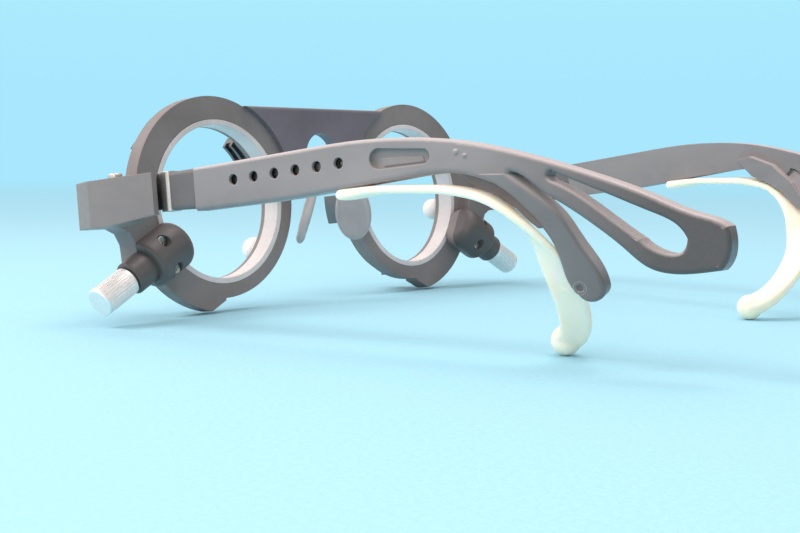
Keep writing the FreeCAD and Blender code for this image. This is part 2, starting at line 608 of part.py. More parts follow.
# plan line of the bar's outer face behind its straight part: u and w
BEND = [(90, 0), (100, -0.12), (110, -0.5), (120, -1.15), (128, -1.8), (132, -2.2), (135.5, -2.55),
        (142, -3.35)]
PRONG_BACK = [(100.4, -3.1), (103.2, -5.6), (105.7, -7.9), (108.7, -11.4), (111.1, -16.4), (113.4, -21.2)]
PRONG_TIP = [(114.0, -24.2), (113.3, -26.1), (111.3, -26.9)]
PRONG_FRONT = [(108.9, -25.5), (107.4, -23.0), (106.7, -17.9), (105.2, -13.7), (103.1, -10.4), (100.2, -6.9),
               (96.9, -4.1)]
PRONG_ROOT = [(94.6, -2.6)]
RIB = [(87.5, 0.5), (91.5, -3.7), (95.6, -5.6), (99.4, -8.2), (102.4, -11.3), (104.0, -12.6), (105.2, -11.4),
       (102.0, -6.2), (97.0, -1.6), (91.0, 1.0)]
HOOK_PIN_UV = (109.6, -24.1)
MOULD_MARKS = [(91.1, 1.6, 0.75), (92.8, 0.8, 0.5)]   # small domes left by the mould: u, v and radius
SLOT_FRONT, SLOT_REAR = (75.1, 2.1, 1.9), (84.5, 1.6, 1.35)   # u, v and radius of the pocket's ends
SLOT_DEPTH = 1.2


def outline(runs, place, vector):
    """Extruded outline whose runs are smooth curves."""
    return smooth_prism([[place(u, v) for u, v in run] for run in runs], vector)


def prong_point(u, v, w=0.0):
    """Point of the prong, which leans in below the line v = -3.5."""
    tilt = math.radians(PRONG_TILT)
    down = Vector(0, 0, -math.cos(tilt)) - T_OUT * math.sin(tilt)
    return tp(u, -3.5) + down * (-3.5 - v) + prong_normal() * w


def prong_normal():
    tilt = math.radians(PRONG_TILT)
    return T_OUT * math.cos(tilt) - Vector(0, 0, math.sin(tilt))


def bent_slab(w_from, w_to, u_from=28):
    """Upright slab that follows the plan line of the temple, between two offsets from its outer face."""
    edges = []
    for w, order in ((w_from, 1), (w_to, -1)):
        bend = Part.BSplineCurve()
        bend.interpolate([tp(u, -40, w + dw) for u, dw in BEND], InitialTangent=T_ALONG,
                         FinalTangent=(T_ALONG * 6.5 - T_OUT * 0.8).normalize())
        straight = Part.makeLine(tp(u_from, -40, w), tp(BEND[0][0], -40, w))
        edges += [straight, bend.toShape()][::order]
    for u, dw in ((u_from, 0), BEND[-1]):
        edges.append(Part.makeLine(tp(u, -40, w_from + dw), tp(u, -40, w_to + dw)))
    return Part.Face(Part.Wire(Part.__sortEdges__(edges))).extrude(Vector(0, 0, 60))


def mid_point(edge):
    return edge.valueAt((edge.FirstParameter + edge.LastParameter) / 2)


def on_outer_rim(edge, of_window):
    """True for an edge of the outer face, either round the window or round the outside."""
    upright = abs((edge.Vertexes[-1].Point - edge.Vertexes[0].Point).normalize().z) > 0.99999
    if edge.Length < 0.3 or upright:
        return False
    if not bent_slab(-0.01, 1).isInside(mid_point(edge), 0.001, True):
        return False
    window = outline(WINDOW, lambda u, v: tp(u, v, 2), T_OUT * -12)
    return (window.distToShape(Part.Vertex(mid_point(edge)))[0] < 0.02) == of_window


def temple_bar():
    deep = T_OUT * -9
    plate = outline([BAR_TOP, BAR_TAIL, BAR_TAIL_LOW, BAR_ROOT, BAR_LOW, BAR_FRONT],
                    lambda u, v: tp(u, v, 1), deep)
    plate = plate.cut(outline(WINDOW, lambda u, v: tp(u, v, 2), deep * 1.5))
    plate = plate.common(bent_slab(-BAR_T, 0))
    for radius, of_window in ((OUTER_ROUND, False), (WINDOW_ROUND, True)):
        plate = plate.makeFillet(radius, [e for e in plate.Edges if on_outer_rim(e, of_window)])
    prong = outline([PRONG_BACK, PRONG_TIP, PRONG_FRONT, PRONG_ROOT], prong_point, prong_normal() * -PRONG_T)
    face = max(prong.Faces, key=lambda f: f.CenterOfMass.dot(prong_normal()))
    prong = prong.makeFillet(0.8, [e for e in face.OuterWire.Edges if e.CenterOfMass.z < -6])
    rib = prism([tp(u, v, -BAR_T + 0.3) for u, v in RIB], T_OUT * -2.1)
    body = fuse_all([plate, prong, rib])
    for i in range(HOLE_COUNT):
        u = HOLE_FROM + i * HOLE_PITCH
        body = body.cut(cyl(HOLE_R, tp(u, slide_v(u), 1), tp(u, slide_v(u), MID_W)))
    h, clear = TONGUE_H / 2 + 0.15, TONGUE_T / 2 + 0.15
    chan = [(30, slide_v(30) - h), (CHANNEL_TO, slide_v(CHANNEL_TO) - h),
            (CHANNEL_TO, slide_v(CHANNEL_TO) + h), (30, slide_v(30) + h)]
    body = body.cut(prism([tp(u, v, MID_W - clear) for u, v in chan], T_OUT * (2 * clear)))
    guide = [(30, slide_v(30) - 1.0), (CHANNEL_TO, slide_v(CHANNEL_TO) - 1.0),
             (CHANNEL_TO, slide_v(CHANNEL_TO) + 1.0), (30, slide_v(30) + 1.0)]
    body = body.cut(prism([tp(u, v, MID_W + 0.5) for u, v in guide], T_OUT * 0.6))
    body = body.cut(pocket())
    marks = [Part.makeSphere(r, tp(u, v, 0.3 - r)) for u, v, r in MOULD_MARKS]
    hole = cyl(1.2, prong_point(*HOOK_PIN_UV, 1), prong_point(*HOOK_PIN_UV, -6))
    return fuse_all([body] + marks).cut(hole)


def pocket():
    """Recess behind the click holes, taller at its front end."""
    (u0, v0, r0), (u1, v1, r1) = SLOT_FRONT, SLOT_REAR
    ends = [cyl(r, tp(u, v, -SLOT_DEPTH), tp(u, v, 1)) for u, v, r in (SLOT_FRONT, SLOT_REAR)]
    web = prism([tp(u0, v0 - r0, -SLOT_DEPTH), tp(u1, v1 - r1, -SLOT_DEPTH), tp(u1, v1 + r1, -SLOT_DEPTH),
                 tp(u0, v0 + r0, -SLOT_DEPTH)], T_OUT * (SLOT_DEPTH + 1))
    ledge = prism([tp(u0 + 0.6, v0 - r0 + 0.5, -SLOT_DEPTH), tp(u1 - 0.4, v1 - r1 + 0.5, -SLOT_DEPTH),
                   tp(u1 - 0.6, v1 + 0.1, -SLOT_DEPTH), tp(u0 + 0.2, v0 + 0.1, -SLOT_DEPTH)], T_OUT * 0.18)
    return fuse_all(ends + [web]).cut(ledge)


# ---- soft ear hook -------------------------------------------------------------------------------------
# middle line of the strap in temple coordinates u, v, w
STRAP_LINE = [(64.6, -3.55, -2.4), (73.8, -3.35, -2.4), (81.7, -3.95, -2.4), (89.1, -4.85, -2.5),
              (96.4, -7.35, -2.4), (102.2, -13.1, -4.4), (104.9, -20.4, -8.2), (104.6, -26.6, -13.4),
              (102.6, -30.9, -18.0), (99.2, -33.15, -20.8)]
STRAP_TWIST = [0, 0, 0, 0, 8, 30, 78, 90, 90, 90]
STRAP_WIDTHS = [5.6, 6.4, 6.4, 6.4, 6.4, 6.4, 6.4, 6.0, 5.6, 5.2]
STRAP_STEPS = 27


def strap_frames():
    """Centre, width direction and size of the strap at even steps along its middle line."""
    line = Part.BSplineCurve()
    line.interpolate([tp(*p) for p in STRAP_LINE])
    knots = [line.parameter(tp(*p)) for p in STRAP_LINE]
    frames = []
    for i in range(STRAP_STEPS + 1):
        t = line.parameterAtDistance(line.length() * i / STRAP_STEPS * 0.9999, line.FirstParameter)
        k = max(j for j in range(len(knots) - 1) if knots[j] <= t + 1e-9)
        f = (t - knots[k]) / (knots[k + 1] - knots[k])
        twist = math.radians(STRAP_TWIST[k] + f * (STRAP_TWIST[k + 1] - STRAP_TWIST[k]))
        width = STRAP_WIDTHS[k] + f * (STRAP_WIDTHS[k + 1] - STRAP_WIDTHS[k])
        tangent = Vector(*line.tangent(t)[0]).normalize()
        side = T_OUT * math.cos(twist) + T_ALONG * math.sin(twist)
        side = (side - tangent * side.dot(tangent)).normalize()
        frames.append((line.value(t), side, tangent.cross(side), width))
    return frames


def rounded_section(centre, side, normal, width, thick):
    """Closed smooth strap section: a flat oval."""
    pts = []
    for i in range(16):
        a = -2 * math.pi * (i + 0.5) / 16
        c, s = math.cos(a), math.sin(a)
        x = math.copysign(abs(c) ** 0.45, c) * width / 2
        y = math.copysign(abs(s) ** 0.6, s) * thick / 2
        pts.append(centre + side * x + normal * y)
    curve = Part.BSplineCurve()
    curve.interpolate(pts, PeriodicFlag=True)
    return Part.Wire(curve.toShape())


def ear_hook():
    frames = strap_frames()
    last = len(frames) - 1
    wires = []
    for i, (c, side, normal, width) in enumerate(frames):
        thick = STRAP_T * (1.0 if i < last * 0.8 else 1.0 + 1.1 * (i / last - 0.8) / 0.2)
        wires.append(rounded_section(c, side, normal, width, thick))
    strap = Part.makeLoft(wires, True, False)
    ball = Part.makeSphere(BALL_R, frames[-1][0])
    eye_at = prong_point(*HOOK_PIN_UV, -PRONG_T - 1.4)
    eye = cyl(2.7, prong_point(*HOOK_PIN_UV, -PRONG_T), prong_point(*HOOK_PIN_UV, -PRONG_T - 2.8))
    near = min(frames, key=lambda f: (f[0] - eye_at).Length)[0]
    arm_dir = near - eye_at
    arm_side = arm_dir.cross(prong_normal()).normalize() * 2.3
    arm_norm = arm_side.cross(arm_dir).normalize() * 0.7
    arm = prism([eye_at + arm_side + arm_norm, eye_at - arm_side + arm_norm,
                 eye_at - arm_side - arm_norm, eye_at + arm_side - arm_norm], arm_dir)
    body = fuse_all([strap, ball, eye, arm])
    return body.cut(cyl(1.2, prong_point(*HOOK_PIN_UV, 2), prong_point(*HOOK_PIN_UV, -8)))


def hook_pin():
    """Flush pin with a shallow dish at its outer end and a flange inside the strap's eye."""
    outer, inner = prong_point(*HOOK_PIN_UV, 0.0), prong_point(*HOOK_PIN_UV, -PRONG_T - 2.8)
    pin = cyl(1.2, inner, outer)
    flange = cyl(2.0, inner, inner - prong_normal() * 0.7)
    dish = cyl(0.75, outer - prong_normal() * 0.3, outer + prong_normal())
    return pin.fuse(flange).cut(dish)


# ---- assembly ---------------------------------------------------------------------------------------------
def turned_cell(shape):
    """The right cell is stored turned about its own axis by whole teeth."""
    copy = shape.copy()
    copy.rotate(LENS, ALONG_Y, -RIGHT_CELL_TEETH * 360.0 / GEAR_TEETH)
    return copy


def left_pieces():
    """Each entry: node stem, list of solids, whether it turns with the lens cell."""
    bar = temple_bar()
    return [
        ("ring_housing", [ring_housing()], False),
        ("bezel", [bezel()], False),
        ("bezel_screws", bezel_screws(), False),
        ("gear_cover", [gear_cover()], False),
        ("cover_screws", cover_screws(), False),
        ("shaft_bushing", [shaft_bushing()], False),
        ("knob_shaft", [knob_shaft()], False),
        ("knob_cap", [knob_cap()], False),
        ("lens_cell", [lens_cell()], True),
        ("clip_ring", [clip_ring()], True),
        ("clip_ring_screws", clip_ring_screws(), True),
        ("lens_holders", lens_holders(), True),
        ("spring_clip", [spring_clip()], True),
        ("clip_ball", [clip_ball()], True),
        ("holder_pins", holder_pins(), True),
        ("nose_pad", [nose_pad()], False),
        ("hinge_pin", [hinge_pin()], False),
        ("hinge_tongue", [hinge_tongue()], False),
        ("tongue_ferrule", [tongue_ferrule()], False),
        ("tongue_collar", [tongue_collar()], False),
        ("detent_spring", [detent_spring()], False),
        ("temple_bar", [bar], False),
        ("ear_hook", [ear_hook().cut(bar)], False),
        ("hook_pin", [hook_pin()], False),
    ]


def rest(shape):
    """Pitch about X through the lens centres."""
    copy = shape.copy()
    copy.rotate(Vector(), Vector(1, 0, 0), REST_PITCH)
    return copy


def solids_of(shapes):
    found = []
    for shape in shapes:
        found += shape.Solids
    return found


def main():
    pieces = [("bridge", [bridge()]), ("bridge_screws", bridge_screws())]
    for stem, shapes, turns in left_pieces():
        pieces.append((stem + "_left", shapes))
        source = [turned_cell(s) for s in shapes] if turns else shapes
        pieces.append((stem + "_right", [s.mirror(Vector(), Vector(1, 0, 0)) for s in source]))
    placed = [(name, [rest(s) for s in solids_of(shapes)]) for name, shapes in pieces]
    everything = Part.makeCompound([s for _, group in placed for s in group])
    box = everything.optimalBoundingBox(False)
    shift = Vector(0, -(box.YMin + box.YMax) / 2, -box.ZMin)
    os.makedirs("parts", exist_ok=True)
    for name, group in placed:
        for s in group:
            s.translate(shift)
        shape = group[0] if len(group) == 1 else Part.makeCompound(group)
        shape.exportStep("parts/%s.step" % name)
        print(name, len(group), all(s.isValid() for s in group), round(sum(s.Volume for s in group), 2))
    print("shift", shift, "box", box)


main()
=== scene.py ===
"""Looks for the optical trial frame: materials, soft silicone pieces, floor, light and camera."""

import json
import math

import bmesh
import bpy
from mathutils import Matrix, Vector


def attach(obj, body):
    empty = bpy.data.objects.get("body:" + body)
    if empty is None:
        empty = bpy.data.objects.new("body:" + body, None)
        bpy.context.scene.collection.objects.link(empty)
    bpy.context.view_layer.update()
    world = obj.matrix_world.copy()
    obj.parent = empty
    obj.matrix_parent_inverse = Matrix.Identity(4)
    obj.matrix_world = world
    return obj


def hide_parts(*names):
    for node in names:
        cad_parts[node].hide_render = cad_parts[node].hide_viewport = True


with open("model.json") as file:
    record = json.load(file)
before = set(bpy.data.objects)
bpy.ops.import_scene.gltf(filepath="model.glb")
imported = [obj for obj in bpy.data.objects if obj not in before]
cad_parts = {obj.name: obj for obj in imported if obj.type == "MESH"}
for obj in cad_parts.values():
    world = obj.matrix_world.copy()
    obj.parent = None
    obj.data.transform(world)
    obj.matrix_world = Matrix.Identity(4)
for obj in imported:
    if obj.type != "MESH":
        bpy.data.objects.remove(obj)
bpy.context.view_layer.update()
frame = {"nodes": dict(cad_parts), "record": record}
MM = 0.001
SIDES = (("left", 1), ("right", -1))


# ---- design axes of the frame ------------------------------------------------------------------
# +X is the wearer's left, +Y points back along the temples and +Z is up, in mm from the middle
# between the two lens centres. The lens bores in the record say where those axes are at rest.
bores = [m for m in frame["record"]["mounts"] if m["kind"] == "bore"]
BACK = -Vector(bores[0]["axis"]).normalized()
ACROSS = Vector((1, 0, 0))
UP = ACROSS.cross(BACK)
ORIGIN = sum((Vector(m["pos_m"]) for m in bores), Vector()) / len(bores)
ORIGIN += BACK * bores[0]["dims"]["length_mm"] * MM / 2


def place(p, side=1):
    """World point of a design point in mm; side -1 mirrors it to the wearer's right."""
    return ORIGIN + (ACROSS * p[0] * side + BACK * p[1] + UP * p[2]) * MM


# ---- materials ---------------------------------------------------------------------------------
class Finish:
    """A node material: methods add nodes and return their output sockets."""

    def __init__(self, name, **values):
        self.material = bpy.data.materials.new(name)
        self.material.use_nodes = True
        self.tree = self.material.node_tree
        self.shader = self.tree.nodes["Principled BSDF"]
        position = self.add("ShaderNodeTexCoord")
        self.coords, self.facing = position.outputs["Object"], position.outputs["Normal"]
        self.set(**values)

    def feed(self, socket, value):
        if isinstance(value, bpy.types.NodeSocket):
            self.tree.links.new(value, socket)
        elif hasattr(value, "__len__") and len(value) == 3 and socket.type == "RGBA":
            socket.default_value = (*value, 1)
        else:
            socket.default_value = value

    def set(self, **values):
        """Shader inputs by name, with underscores for spaces."""
        for name, value in values.items():
            self.feed(self.shader.inputs[name.replace("_", " ")], value)

    def add(self, kind, values=None, **settings):
        node = self.tree.nodes.new(kind)
        for name, value in settings.items():
            setattr(node, name, value)
        for name, value in (values or {}).items():
            self.feed(node.inputs[name], value)
        return node

    def stretched(self, scale):
        """Object coordinates scaled per axis."""
        return self.add("ShaderNodeMapping", {"Vector": self.coords, "Scale": scale}).outputs[0]

    def noise(self, scale, detail=2.0, rough=0.5, vector=None):
        values = {"Vector": vector or self.coords, "Scale": scale, "Detail": detail, "Roughness": rough}
        return self.add("ShaderNodeTexNoise", values).outputs["Fac"]

    def span(self, value, low, high, to_low=0.0, to_high=1.0):
        """Value mapped from one range to another and clamped."""
        values = {"Value": value, "From Min": low, "From Max": high, "To Min": to_low, "To Max": to_high}
        return self.add("ShaderNodeMapRange", values).outputs["Result"]

    def calc(self, operation, a, b):
        return self.add("ShaderNodeMath", {0: a, 1: b}, operation=operation).outputs[0]

    def mix(self, factor, a, b):
        return self.add("ShaderNodeMix", {0: factor, 6: a, 7: b}, data_type="RGBA").outputs[2]

    def specks(self, pitch, size, share):
        """Mask of small sparse spots: cell size and spot radius in metres, share of cells with a spot."""
        cells = self.add("ShaderNodeTexVoronoi", {"Vector": self.coords, "Scale": 1 / pitch})
        spot = self.span(cells.outputs["Distance"], size / pitch * 0.6, size / pitch, 1, 0)
        picked = self.add("ShaderNodeSeparateColor", {"Color": cells.outputs["Color"]}).outputs[0]
        return self.calc("MULTIPLY", spot, self.calc("LESS_THAN", picked, share))

    def rounded(self, radius):
        """Normal with the sharp edges rounded, and a mask of those edges."""
        soft = self.add("ShaderNodeBevel", {"Radius": radius}, samples=6).outputs[0]
        flat = self.add("ShaderNodeNewGeometry").outputs["Normal"]
        dot = self.add("ShaderNodeVectorMath", {0: soft, 1: flat}, operation="DOT_PRODUCT").outputs["Value"]
        return soft, self.span(dot, 0.995, 0.80)

    def bump(self, height, distance, normal=None):
        values = {"Height": height, "Distance": distance}
        if normal is not None:
            values["Normal"] = normal
        self.set(Normal=self.add("ShaderNodeBump", values).outputs[0])


TAIL_SHADE_TONE = 0.36       # painted shade: colour of the temple's tail, as a share of the plain colour
TAIL_POLISH = 0.14     # how much smoother the plastic is over the tail
TAIL_SPAN = (0.034, 0.064)    # stretch of the temple, in its own Y, over which the painted shade and the smoothing set in
TOP_HIGHLIGHT = 0.85             # painted highlight: share of the pale edge colour on upward-facing surfaces
FLECK = (0.55, 0.56, 0.57)                        # colour of the dust
BIG_FLECKS, SMALL_FLECKS = (0.0034, 0.00011), (0.0013, 0.00005)   # cell size and spot radius
EDGE_R, METAL_EDGE_R = 0.0003, 0.00012            # rounding of sharp edges


def plastic(name, colour, highlight_and_wear_colour, rough, dust=0.35, tail_shade_span=None):
    """Satin injection-moulded plastic: fine tool texture, flow shading, sharp edges lightened partly as
    scuffs and partly as painted highlight, dust specks.

    The span argument is a stretch of the piece's own Y in metres over which the plastic is darkened, as
    painted shade, and made smoother.
    Such a piece also gets a painted highlight: its upward-facing surfaces are mixed towards the pale edge
    colour.
    """
    f = Finish(name, Specular_IOR_Level=0.45)
    dark, light = (tuple(c * k for c in colour) for k in (0.82, 1.16))
    flow = f.noise(55, 4, 0.6, f.stretched((1, 0.35, 1)))
    cloud = f.noise(260, 3, 0.55)
    tone = f.mix(f.span(flow, 0.32, 0.68), dark, light)
    tone = f.mix(f.span(cloud, 0.35, 0.75, 0, 0.35), tone, tuple(c * 1.12 for c in colour))
    # painted shade: the plastic darkened towards the temple's tail
    if tail_shade_span:
        along = f.add("ShaderNodeSeparateXYZ", {"Vector": f.coords}).outputs["Y"]
        tail_shade = f.span(along, *tail_shade_span)
        tone = f.mix(tail_shade, tone, tuple(c * TAIL_SHADE_TONE for c in colour))
        # painted highlight: upward-facing surfaces lightened towards the pale edge colour
        facing = f.add("ShaderNodeSeparateXYZ", {"Vector": f.facing}).outputs["Z"]
        tone = f.mix(f.span(facing, 0.2, 0.75, 0, TOP_HIGHLIGHT), tone, highlight_and_wear_colour)
    normal, edges = f.rounded(EDGE_R)
    # sharp edges lightened: partly wear, partly a painted highlight where the edges catch the light
    edge_wear_and_highlight = f.calc("MULTIPLY", edges, f.span(f.noise(900, 4, 0.7), 0.3, 0.6, 0.35, 1))
    tone = f.mix(f.calc("MULTIPLY", edge_wear_and_highlight, 0.55), tone, highlight_and_wear_colour)
    flecks = f.calc("MAXIMUM", f.specks(*BIG_FLECKS, dust), f.specks(*SMALL_FLECKS, dust * 0.5))
    tone = f.mix(f.calc("MULTIPLY", flecks, 0.6), tone, FLECK)
    shine = f.span(f.noise(700, 3, 0.6), 0.3, 0.7, rough - 0.05, rough + 0.08)
    if tail_shade_span:
        shine = f.calc("SUBTRACT", shine, f.calc("MULTIPLY", tail_shade, TAIL_POLISH))
    f.set(Base_Color=tone, Roughness=shine)
    grain = f.calc("ADD", f.noise(5200, 2, 0.6), f.calc("MULTIPLY", f.noise(520, 3), 1.2))
    f.bump(f.calc("ADD", grain, f.calc("MULTIPLY", flecks, 1.5)), 0.000016, normal)
    return f.material


def metal(name, colour, rough, streak):
    """Machined metal: fine lines in one direction, faint smudges and worn edges."""
    f = Finish(name, Metallic=1.0)
    lines = f.noise(1, 3, 0.6, f.stretched(streak))
    smudge = f.noise(300, 3, 0.6)
    normal, edges = f.rounded(METAL_EDGE_R)
    tone = f.mix(f.span(lines, 0.3, 0.7), tuple(c * 0.88 for c in colour), colour)
    tone = f.mix(f.calc("MULTIPLY", edges, 0.5), tone, tuple(min(1, c * 1.12) for c in colour))
    f.set(Base_Color=tone, Roughness=f.span(smudge, 0.3, 0.75, rough, rough + 0.14))
    f.bump(f.calc("ADD", lines, f.calc("MULTIPLY", smudge, 0.4)), 0.000006, normal)
    return f.material


def silicone(name, colour, aged, scatter):
    """Moulded silicone rubber: light passes a little way in, skin slightly mottled and aged."""
    f = Finish(name, Subsurface_Weight=1.0, Subsurface_Radius=scatter, Subsurface_Scale=0.0012,
               IOR=1.41, Specular_IOR_Level=0.35, Sheen_Weight=0.12, Sheen_Roughness=0.5)
    mottled = f.span(f.noise(160, 3, 0.6), 0.38, 0.72)
    tone = f.mix(f.calc("MULTIPLY", mottled, 0.6), colour, aged)
    tone = f.mix(f.calc("MULTIPLY", f.specks(0.0052, 0.00012, 0.3), 0.7), tone, (0.25, 0.18, 0.13))
    f.set(Base_Color=tone, Roughness=f.span(f.noise(500, 3), 0.3, 0.7, 0.42, 0.58))
    f.bump(f.calc("ADD", f.noise(2600, 2), f.calc("MULTIPLY", f.noise(330, 2), 2)), 0.00002)
    return f.material


def clear_silicone(name):
    """Translucent nose-pad silicone with a frosted skin."""
    f = Finish(name, Transmission_Weight=0.42, IOR=1.41, Specular_IOR_Level=0.4)
    cloud = f.span(f.noise(240, 3, 0.6), 0.3, 0.7)
    f.set(Base_Color=f.mix(cloud, (0.58, 0.52, 0.52), (0.68, 0.60, 0.59)),
          Roughness=f.span(f.noise(900, 3), 0.3, 0.7, 0.28, 0.42))
    f.bump(f.calc("ADD", f.noise(3800, 2), f.noise(420, 2)), 0.00002)
    return f.material


finishes = {
    "frame_plastic": plastic("satin_grey_plastic", (0.242, 0.226, 0.228), (0.42, 0.38, 0.38), 0.42),
    # the temple's plastic carries painted shade towards its tail and a painted highlight on its
    # upward-facing surfaces
    "temple_plastic": plastic("grey_plastic_painted_tail_shade", (0.242, 0.226, 0.228), (0.50, 0.45, 0.45), 0.40,
                              tail_shade_span=TAIL_SPAN),
    # painted shade: a darker, warmer copy of the frame plastic stands in for the shade on the rings'
    # back-facing faces
    "rim_plastic": plastic("satin_grey_plastic_painted_shade", (0.207, 0.184, 0.180), (0.40, 0.35, 0.33), 0.44),
    "bridge_plastic": plastic("satin_violet_grey_plastic", (0.150, 0.134, 0.160), (0.36, 0.31, 0.33), 0.40),
    "dark_plastic": plastic("dark_moulded_plastic", (0.095, 0.085, 0.083), (0.22, 0.19, 0.19), 0.38),
    # painted shade: a darker copy of the frame plastic stands in for the shade on the collar
    "collar_plastic": plastic("collar_plastic_painted_shade", (0.135, 0.125, 0.128), (0.34, 0.30, 0.30), 0.44),
    # painted highlight: the pin's edges lightened almost to white as a bright rim
    "pin_plastic": plastic("pin_plastic_painted_rim_highlight", (0.15, 0.14, 0.14), (0.85, 0.82, 0.80), 0.34),
    "cell_plastic": plastic("pale_cell_plastic", (0.64, 0.60, 0.59), (0.80, 0.74, 0.73), 0.30),
    "pearl_bead": plastic("pearl_bead", (0.90, 0.86, 0.84), (0.95, 0.92, 0.90), 0.22, 0.1),
    "dark_steel": metal("blackened_steel", (0.20, 0.19, 0.19), 0.35, (2500, 2500, 300)),
    "steel": metal("bright_steel", (0.66, 0.64, 0.61), 0.24, (2500, 2500, 300)),
    "knob_metal": metal("satin_aluminium", (1.0, 0.98, 0.96), 0.46, (3500, 3500, 400)),
    "soft_silicone": silicone("ivory_silicone", (1.0, 0.87, 0.75), (1.0, 0.83, 0.62), (1.0, 0.72, 0.42)),
    "clear_silicone": clear_silicone("frosted_clear_silicone"),
}
# pieces that look different from their material slot's usual finish
OWN_FINISH = {
    "ring_housing": "rim_plastic", "bezel": "rim_plastic", "clip_ring": "rim_plastic",
    "hinge_tongue": "dark_steel", "detent_spring": "dark_steel", "lens_holders": "dark_steel",
    "clip_ball": "pearl_bead", "lens_cell": "cell_plastic", "temple_bar": "temple_plastic",
    "hook_pin": "pin_plastic", "tongue_collar": "collar_plastic",
}
slots = {s["node"]: s["material_slot"] for s in frame["record"]["subparts"]}
for name, obj in frame["nodes"].items():
    finish = OWN_FINISH.get(name.rsplit("_", 1)[0], slots[name])
    obj.data.materials.clear()
    obj.data.materials.append(finishes[finish])


# ---- soft silicone pieces ----------------------------------------------------------------------
def new_piece(name, bm, material):
    mesh = bpy.data.meshes.new(name)
    bmesh.ops.recalc_face_normals(bm, faces=bm.faces)
    bm.to_mesh(mesh)
    bm.free()
    obj = bpy.data.objects.new(name, mesh)
    bpy.context.scene.collection.objects.link(obj)
    mesh.materials.append(material)
    mesh.shade_smooth()
    return obj


def apply_modifiers(obj):
    """Replaces the mesh with the result of its modifiers."""
    graph = bpy.context.evaluated_depsgraph_get()
    mesh = bpy.data.meshes.new_from_object(obj.evaluated_get(graph))
    obj.modifiers.clear()
    obj.data = mesh
    mesh.shade_smooth()


def tube(bm, rings):
    """Skin over closed rings of points, with its two ends capped."""
    loops = [[bm.verts.new(p) for p in ring] for ring in rings]
    for a, b in zip(loops, loops[1:]):
        for i in range(len(a)):
            j = (i + 1) % len(a)
            bm.faces.new((a[i], a[j], b[j], b[i]))
    bm.faces.new(loops[0])
    bm.faces.new(loops[-1][::-1])


OVAL_POINTS = 28


def flat_oval(centre, side, normal, width, thick):
    """Ring of points round a flat strap section."""
    ring = []
    for i in range(OVAL_POINTS):
        a = 2 * math.pi * i / OVAL_POINTS
        c, s = math.cos(a), math.sin(a)
        ring.append(centre + side * math.copysign(abs(c) ** 0.45, c) * width / 2
                    + normal * math.copysign(abs(s) ** 0.6, s) * thick / 2)
    return ring


def spline(points, steps):
    """Points at even steps of a smooth curve through the given points."""
    pts = [points[0] * 2 - points[1], *points, points[-1] * 2 - points[-2]]
    out = []
    for i in range(1, len(pts) - 2):
        p0, p1, p2, p3 = pts[i - 1:i + 3]
        for k in range(steps):
            t = k / steps
            out.append(0.5 * (2 * p1 + (p2 - p0) * t + (2 * p0 - 5 * p1 + 4 * p2 - p3) * t * t
                              + (3 * p1 - p0 - 3 * p2 + p3) * t * t * t))
    return out + [points[-1]]


TOE_IN = math.radians(9.0)
HINGE_X = 72.0            # outer face of the hinge lug, mm from the middle
PRONG_TILT = math.radians(17.0)
PRONG_T = 3.0
BALL_R = 2.8
HOOK_PIN = (109.6, -24.1)     # along the temple and up
PRONG_ROOT = -3.5             # height of the line about which the prong leans in
EYE_R, EYE_T, EYE_GAP = 2.6, 2.7, 1.45
ARM_W, ARM_T = (4.8, 4.0), (2.0, 1.8)     # at the eye and at the strap
STRAP_STEPS = 8               # spline steps between two rows of the table
HOOK_VOXEL, PAD_VOXEL = 0.22, 0.2
# middle line of the strap: along the temple, up, outwards, then twist, width and thickness
STRAP = [
    (64.6, -3.55, -2.4, 0, 5.6, 2.1), (68.2, -3.5, -2.4, 0, 5.9, 2.0), (73.8, -3.35, -2.4, 0, 6.4, 1.6),
    (81.7, -3.95, -2.4, 0, 6.4, 1.6), (89.1, -4.85, -2.5, 0, 6.4, 1.7), (96.4, -7.35, -2.4, 8, 6.4, 1.7),
    (102.2, -13.1, -4.4, 30, 6.4, 1.7), (104.9, -20.4, -8.2, 78, 6.4, 1.8),
    (104.6, -26.6, -13.4, 90, 6.0, 2.3), (102.6, -30.9, -18.0, 90, 5.6, 3.0),
    (99.2, -33.15, -20.8, 90, 5.2, 3.6),
]
ALONG = Vector((-math.sin(TOE_IN), math.cos(TOE_IN), 0))
OUT = Vector((math.cos(TOE_IN), math.sin(TOE_IN), 0))
PRONG_OUT = OUT * math.cos(PRONG_TILT) - Vector((0, 0, math.sin(PRONG_TILT)))
PRONG_DOWN = Vector((0, 0, -math.cos(PRONG_TILT))) - OUT * math.sin(PRONG_TILT)


def on_temple(u, v, w):
    return Vector((HINGE_X, 0, 0)) + ALONG * u + Vector((0, 0, v)) + OUT * w


def on_prong(u, v, w):
    return on_temple(u, PRONG_ROOT, 0) + PRONG_DOWN * (PRONG_ROOT - v) + PRONG_OUT * w


